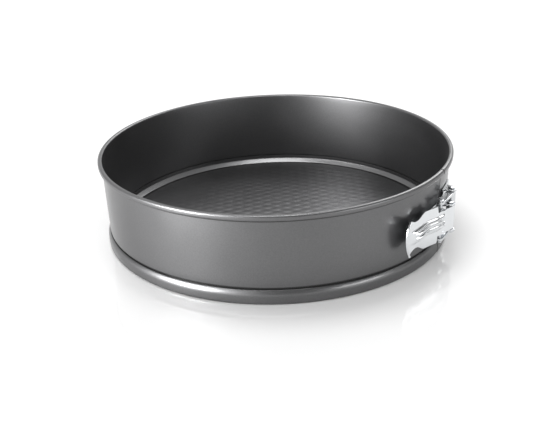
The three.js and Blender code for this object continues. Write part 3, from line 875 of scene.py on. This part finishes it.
def add_lamp(name, kind, turn, height, distance):
    """A lamp that faces the pan, placed by degrees round from the camera, degrees up, and distance."""
    angle = VIEW_TURN + math.radians(turn)
    level = math.cos(math.radians(height))
    out = Vector((math.sin(angle) * level, -math.cos(angle) * level, math.sin(math.radians(height))))
    lamp = bpy.data.objects.new(name, bpy.data.lights.new(name, kind))
    lamp.matrix_world = Matrix.Translation(out * distance) @ out.to_track_quat("Z", "Y").to_matrix().to_4x4()
    bpy.context.scene.collection.objects.link(lamp)
    return lamp


def add_softbox(name, turn, height, distance, size, power):
    """A softbox that draws its own shape in the pan's sheen and leaves the table to the sky and the sun."""
    box = add_lamp(name, "AREA", turn, height, distance)
    box.data.shape = "RECTANGLE"
    box.data.size, box.data.size_y = size
    box.data.energy = power
    box.visible_diffuse = False
    box.visible_camera = False
    return box


def leave_out(table, boxes):
    """Keeps the table out of what the softboxes light, so that it doesn't mirror them."""
    unlit = bpy.data.collections.new("not_lit_by_softboxes")
    unlit.objects.link(table)
    unlit.collection_objects[0].light_linking.link_state = "EXCLUDE"
    for box in boxes:
        box.light_linking.receiver_collection = unlit


def table_finish():
    """White table top: a matt white with a faint even gloss, which shows the pan's shadow and mirrors it."""
    finish, tree = new_finish("white_table_top")
    matt = add_node(tree, "ShaderNodeBsdfDiffuse", {"Color": linear("f4f4f4")})
    gloss = add_node(tree, "ShaderNodeBsdfAnisotropic", {
        "Color": linear("ffffff"), "Roughness": TABLE_ROUGHNESS})
    both = add_node(tree, "ShaderNodeMixShader", {
        "Fac": TABLE_GLOSS, 1: matt.outputs["BSDF"], 2: gloss.outputs["BSDF"]})
    add_node(tree, "ShaderNodeOutputMaterial", {"Surface": both.outputs["Shader"]})
    return finish


def add_table():
    """The table top: one square face at the pan's foot."""
    mesh = bpy.data.meshes.new("floor")
    corners = [(-1, -1), (1, -1), (1, 1), (-1, 1)]
    mesh.from_pydata([(x * TABLE_REACH, y * TABLE_REACH, 0) for x, y in corners], [], [(0, 1, 2, 3)])
    mesh.materials.append(table_finish())
    floor = bpy.data.objects.new("floor", mesh)
    bpy.context.scene.collection.objects.link(floor)
    return floor


def studio_world():
    """White surroundings: an even sky for matt faces, and for mirroring ones a backdrop that is bright
    behind the pan and dark on the camera's side, by how far a ray runs against the camera's direction."""
    world = bpy.data.worlds.new("studio")
    world.use_nodes = True
    tree = world.node_tree
    tree.nodes.clear()
    path = add_node(tree, "ShaderNodeLightPath").outputs
    mirrored = calc(tree, "MAXIMUM", path["Is Glossy Ray"], path["Is Transmission Ray"])
    level = math.sqrt(1 - BACKDROP_DROP ** 2)
    ahead = add_node(tree, "ShaderNodeVectorMath", {
        0: add_node(tree, "ShaderNodeTexCoord").outputs["Generated"],
        1: (level * math.sin(VIEW_TURN), -level * math.cos(VIEW_TURN), -BACKDROP_DROP)},
        operation="DOT_PRODUCT")
    backdrop = remap(tree, ahead.outputs["Value"], BACKDROP_SPAN, BACKDROP_LEVEL)
    lit = add_node(tree, "ShaderNodeMix", {"Factor": mirrored, "A": SKY_LEVEL, "B": backdrop})
    seen = add_node(tree, "ShaderNodeMix", {
        "Factor": path["Is Camera Ray"], "A": lit.outputs["Result"], "B": 1.0})
    sky = add_node(tree, "ShaderNodeBackground", {
        "Color": linear("ffffff"), "Strength": seen.outputs["Result"]})
    add_node(tree, "ShaderNodeOutputWorld", {"Surface": sky.outputs["Background"]})
    return world


class PAN_OT_stage(bpy.types.Operator):
    """Builds the stage: white table and backdrop, soft lights and the photo's camera"""
    bl_idname = "springform.stage"
    bl_label = "Stage"

    def execute(self, context):
        scene = context.scene
        scene.view_settings.view_transform = "Standard"
        scene.world = studio_world()
        leave_out(add_table(), [add_softbox(name, *setting) for name, setting in SOFTBOXES.items()])
        sun = add_lamp("high_sun", "SUN", *SUN_PLACE)
        sun.data.angle = SUN_SPREAD
        sun.data.energy = SUN_LEVEL
        sun.visible_glossy = False

        lens = bpy.data.cameras.new("photo_camera")
        lens.sensor_fit = "HORIZONTAL"
        lens.sensor_width = SENSOR
        lens.lens = FOCAL_PIXELS / FRAME_WIDTH * SENSOR
        camera = bpy.data.objects.new("photo_camera", lens)
        camera.matrix_world = photo_camera()
        scene.collection.objects.link(camera)
        scene.camera = camera
        return {"FINISHED"}


class PAN_PT_sidebar(bpy.types.Panel):
    """Lists the pan's sizes, colours and pieces"""
    bl_label = "Springform Pan"
    bl_space_type = "VIEW_3D"
    bl_region_type = "UI"
    bl_category = "Pan"

    def draw(self, context):
        for group in (context.scene.pan_sizes, context.scene.pan_colours):
            for key in group.bl_rna.properties.keys():
                if key not in ("rna_type", "name"):
                    self.layout.prop(group, key)
        for piece in OPERATORS:
            self.layout.operator(piece.bl_idname)


OPERATORS = (PAN_OT_ring, PAN_OT_base_plate, PAN_OT_lever, PAN_OT_link, PAN_OT_brackets, PAN_OT_pins,
             PAN_OT_rivets, PAN_OT_stage)
CLASSES = (PanSizes, PanColours, *OPERATORS, PAN_PT_sidebar)


def register():
    """Makes the pan's classes and settings known to Blender."""
    for cls in CLASSES:
        bpy.utils.register_class(cls)
    bpy.types.Scene.pan_sizes = bpy.props.PointerProperty(type=PanSizes)
    bpy.types.Scene.pan_colours = bpy.props.PointerProperty(type=PanColours)


def unregister():
    """Takes the pan's classes and settings out of Blender again."""
    del bpy.types.Scene.pan_colours
    del bpy.types.Scene.pan_sizes
    for cls in reversed(CLASSES):
        bpy.utils.unregister_class(cls)


def main():
    """Builds each piece and the stage."""
    register()
    bpy.ops.springform.ring()
    bpy.ops.springform.base_plate()
    bpy.ops.springform.lever()
    bpy.ops.springform.link()
    bpy.ops.springform.brackets()
    bpy.ops.springform.pins()
    bpy.ops.springform.rivets()
    bpy.ops.springform.stage()


if __name__ == "__main__":
    main()
